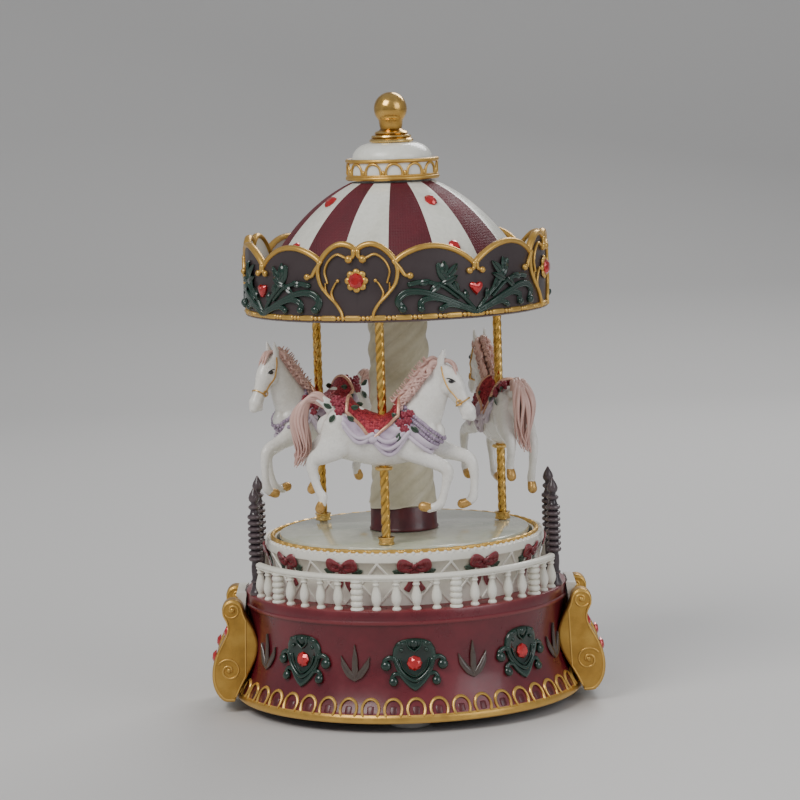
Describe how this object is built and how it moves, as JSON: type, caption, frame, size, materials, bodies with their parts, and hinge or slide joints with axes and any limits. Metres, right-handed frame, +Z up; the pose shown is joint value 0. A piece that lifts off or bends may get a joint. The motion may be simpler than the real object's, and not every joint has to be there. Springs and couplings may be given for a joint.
{
  "type": "carousel music box",
  "caption": "Wind-up carousel music box: round lacquered base with railings and stairs, turntable with galloping horses on twisted poles, striped scalloped canopy.",
  "frame": {"origin": "on the table plane, on the turntable's axis", "axes": "+Z up along the spindle, -Y towards the front, +X to the right with a stair"},
  "size_m": [0.1792, 0.16, 0.2783],
  "materials": {
    "crimson_lacquer": "hand-painted crimson on cast resin, semi-gloss lacquer",
    "cream_enamel": "cream paint on cast resin, satin",
    "ivory_porcelain_finish": "ivory white paint on cast resin, soft gloss",
    "antique_gold_paint": "antique gold paint on cast resin, satin",
    "dark_walnut_paint": "dark brown-purple paint, semi-gloss",
    "plum_enamel": "dark plum paint on cast resin, semi-gloss",
    "marbled_cream": "pale grey-green marbled gloss paint",
    "brass": "polished brass",
    "gilt_metal": "polished gilt metal",
    "steel": "bright steel",
    "black_plastic": "moulded black plastic, matte",
    "clear_rubber": "translucent grey rubber"
  },
  "bodies": {
    "base": {"base_shell": "crimson_lacquer", "bottom_cover": "black_plastic", "foot_pad_1": "clear_rubber", "foot_pad_2": "clear_rubber", "foot_pad_3": "clear_rubber", "foot_pad_4": "clear_rubber", "cover_screw_1": "steel", "cover_screw_2": "steel", "cover_screw_3": "steel", "front_railing": "cream_enamel", "newel_post_front_a": "dark_walnut_paint", "newel_post_front_b": "dark_walnut_paint", "rear_railing": "cream_enamel", "newel_post_rear_a": "dark_walnut_paint", "newel_post_rear_b": "dark_walnut_paint", "entry_stairs_right": "cream_enamel", "scroll_bracket_right_a": "antique_gold_paint", "scroll_bracket_right_b": "antique_gold_paint", "entry_stairs_left": "cream_enamel", "scroll_bracket_left_a": "antique_gold_paint", "scroll_bracket_left_b": "antique_gold_paint", "lattice_drum": "cream_enamel", "cam_ring": "black_plastic", "shaft_bush": "brass", "movement_bedplate": "brass", "tuned_comb": "steel"},
    "rotor": {"spring_barrel": "steel", "main_shaft": "steel", "turntable_disc": "marbled_cream", "column_collar": "crimson_lacquer", "centre_column": "cream_enamel", "canopy_ceiling": "cream_enamel", "valance": "plum_enamel", "dome": "crimson_lacquer", "crown_ring": "antique_gold_paint", "crown_cap": "cream_enamel", "finial": "gilt_metal", "pole_cup_1": "brass", "pole_cup_2": "brass", "pole_cup_3": "brass"},
    "gallop_1": {"horse_1": "ivory_porcelain_finish", "twisted_pole_1": "brass", "belly_washer_1": "brass", "cam_follower_1": "black_plastic"},
    "gallop_2": {"horse_2": "ivory_porcelain_finish", "twisted_pole_2": "brass", "belly_washer_2": "brass", "cam_follower_2": "black_plastic"},
    "gallop_3": {"horse_3": "ivory_porcelain_finish", "twisted_pole_3": "brass", "belly_washer_3": "brass", "cam_follower_3": "black_plastic"},
    "key": {"winding_key": "brass"},
    "cylinder": {"pinned_cylinder": "brass"},
    "fan": {"governor_fan": "black_plastic"}
  },
  "joints": [
    {"name": "carousel_spin", "type": "hinge", "parent": "base", "child": "rotor", "pos_m": [0, 0, 0.079], "axis": [0, 0, 1], "continuous": true},
    {"name": "gallop_front", "type": "slide", "parent": "rotor", "child": "gallop_1", "axis": [0, 0, 1], "range_m": [-0.0058, 0]},
    {"name": "gallop_right", "type": "slide", "parent": "rotor", "child": "gallop_2", "axis": [0, 0, 1], "range_m": [-0.0058, 0]},
    {"name": "gallop_left", "type": "slide", "parent": "rotor", "child": "gallop_3", "axis": [0, 0, 1], "range_m": [-0.0058, 0]},
    {"name": "key_wind", "type": "hinge", "parent": "base", "child": "key", "pos_m": [0, 0, 0.02], "axis": [0, 0, 1], "continuous": true},
    {"name": "cylinder_spin", "type": "hinge", "parent": "base", "child": "cylinder", "pos_m": [0.03, 0, 0.0372], "axis": [1, 0, 0], "continuous": true},
    {"name": "fan_spin", "type": "hinge", "parent": "base", "child": "fan", "pos_m": [0.032, -0.0142, 0.035], "axis": [0, 0, 1], "continuous": true}
  ],
  "couplings": [
    {"joint": "cylinder_spin", "follows": "carousel_spin", "ratio": -3},
    {"joint": "fan_spin", "follows": "carousel_spin", "ratio": 30}
  ]
}
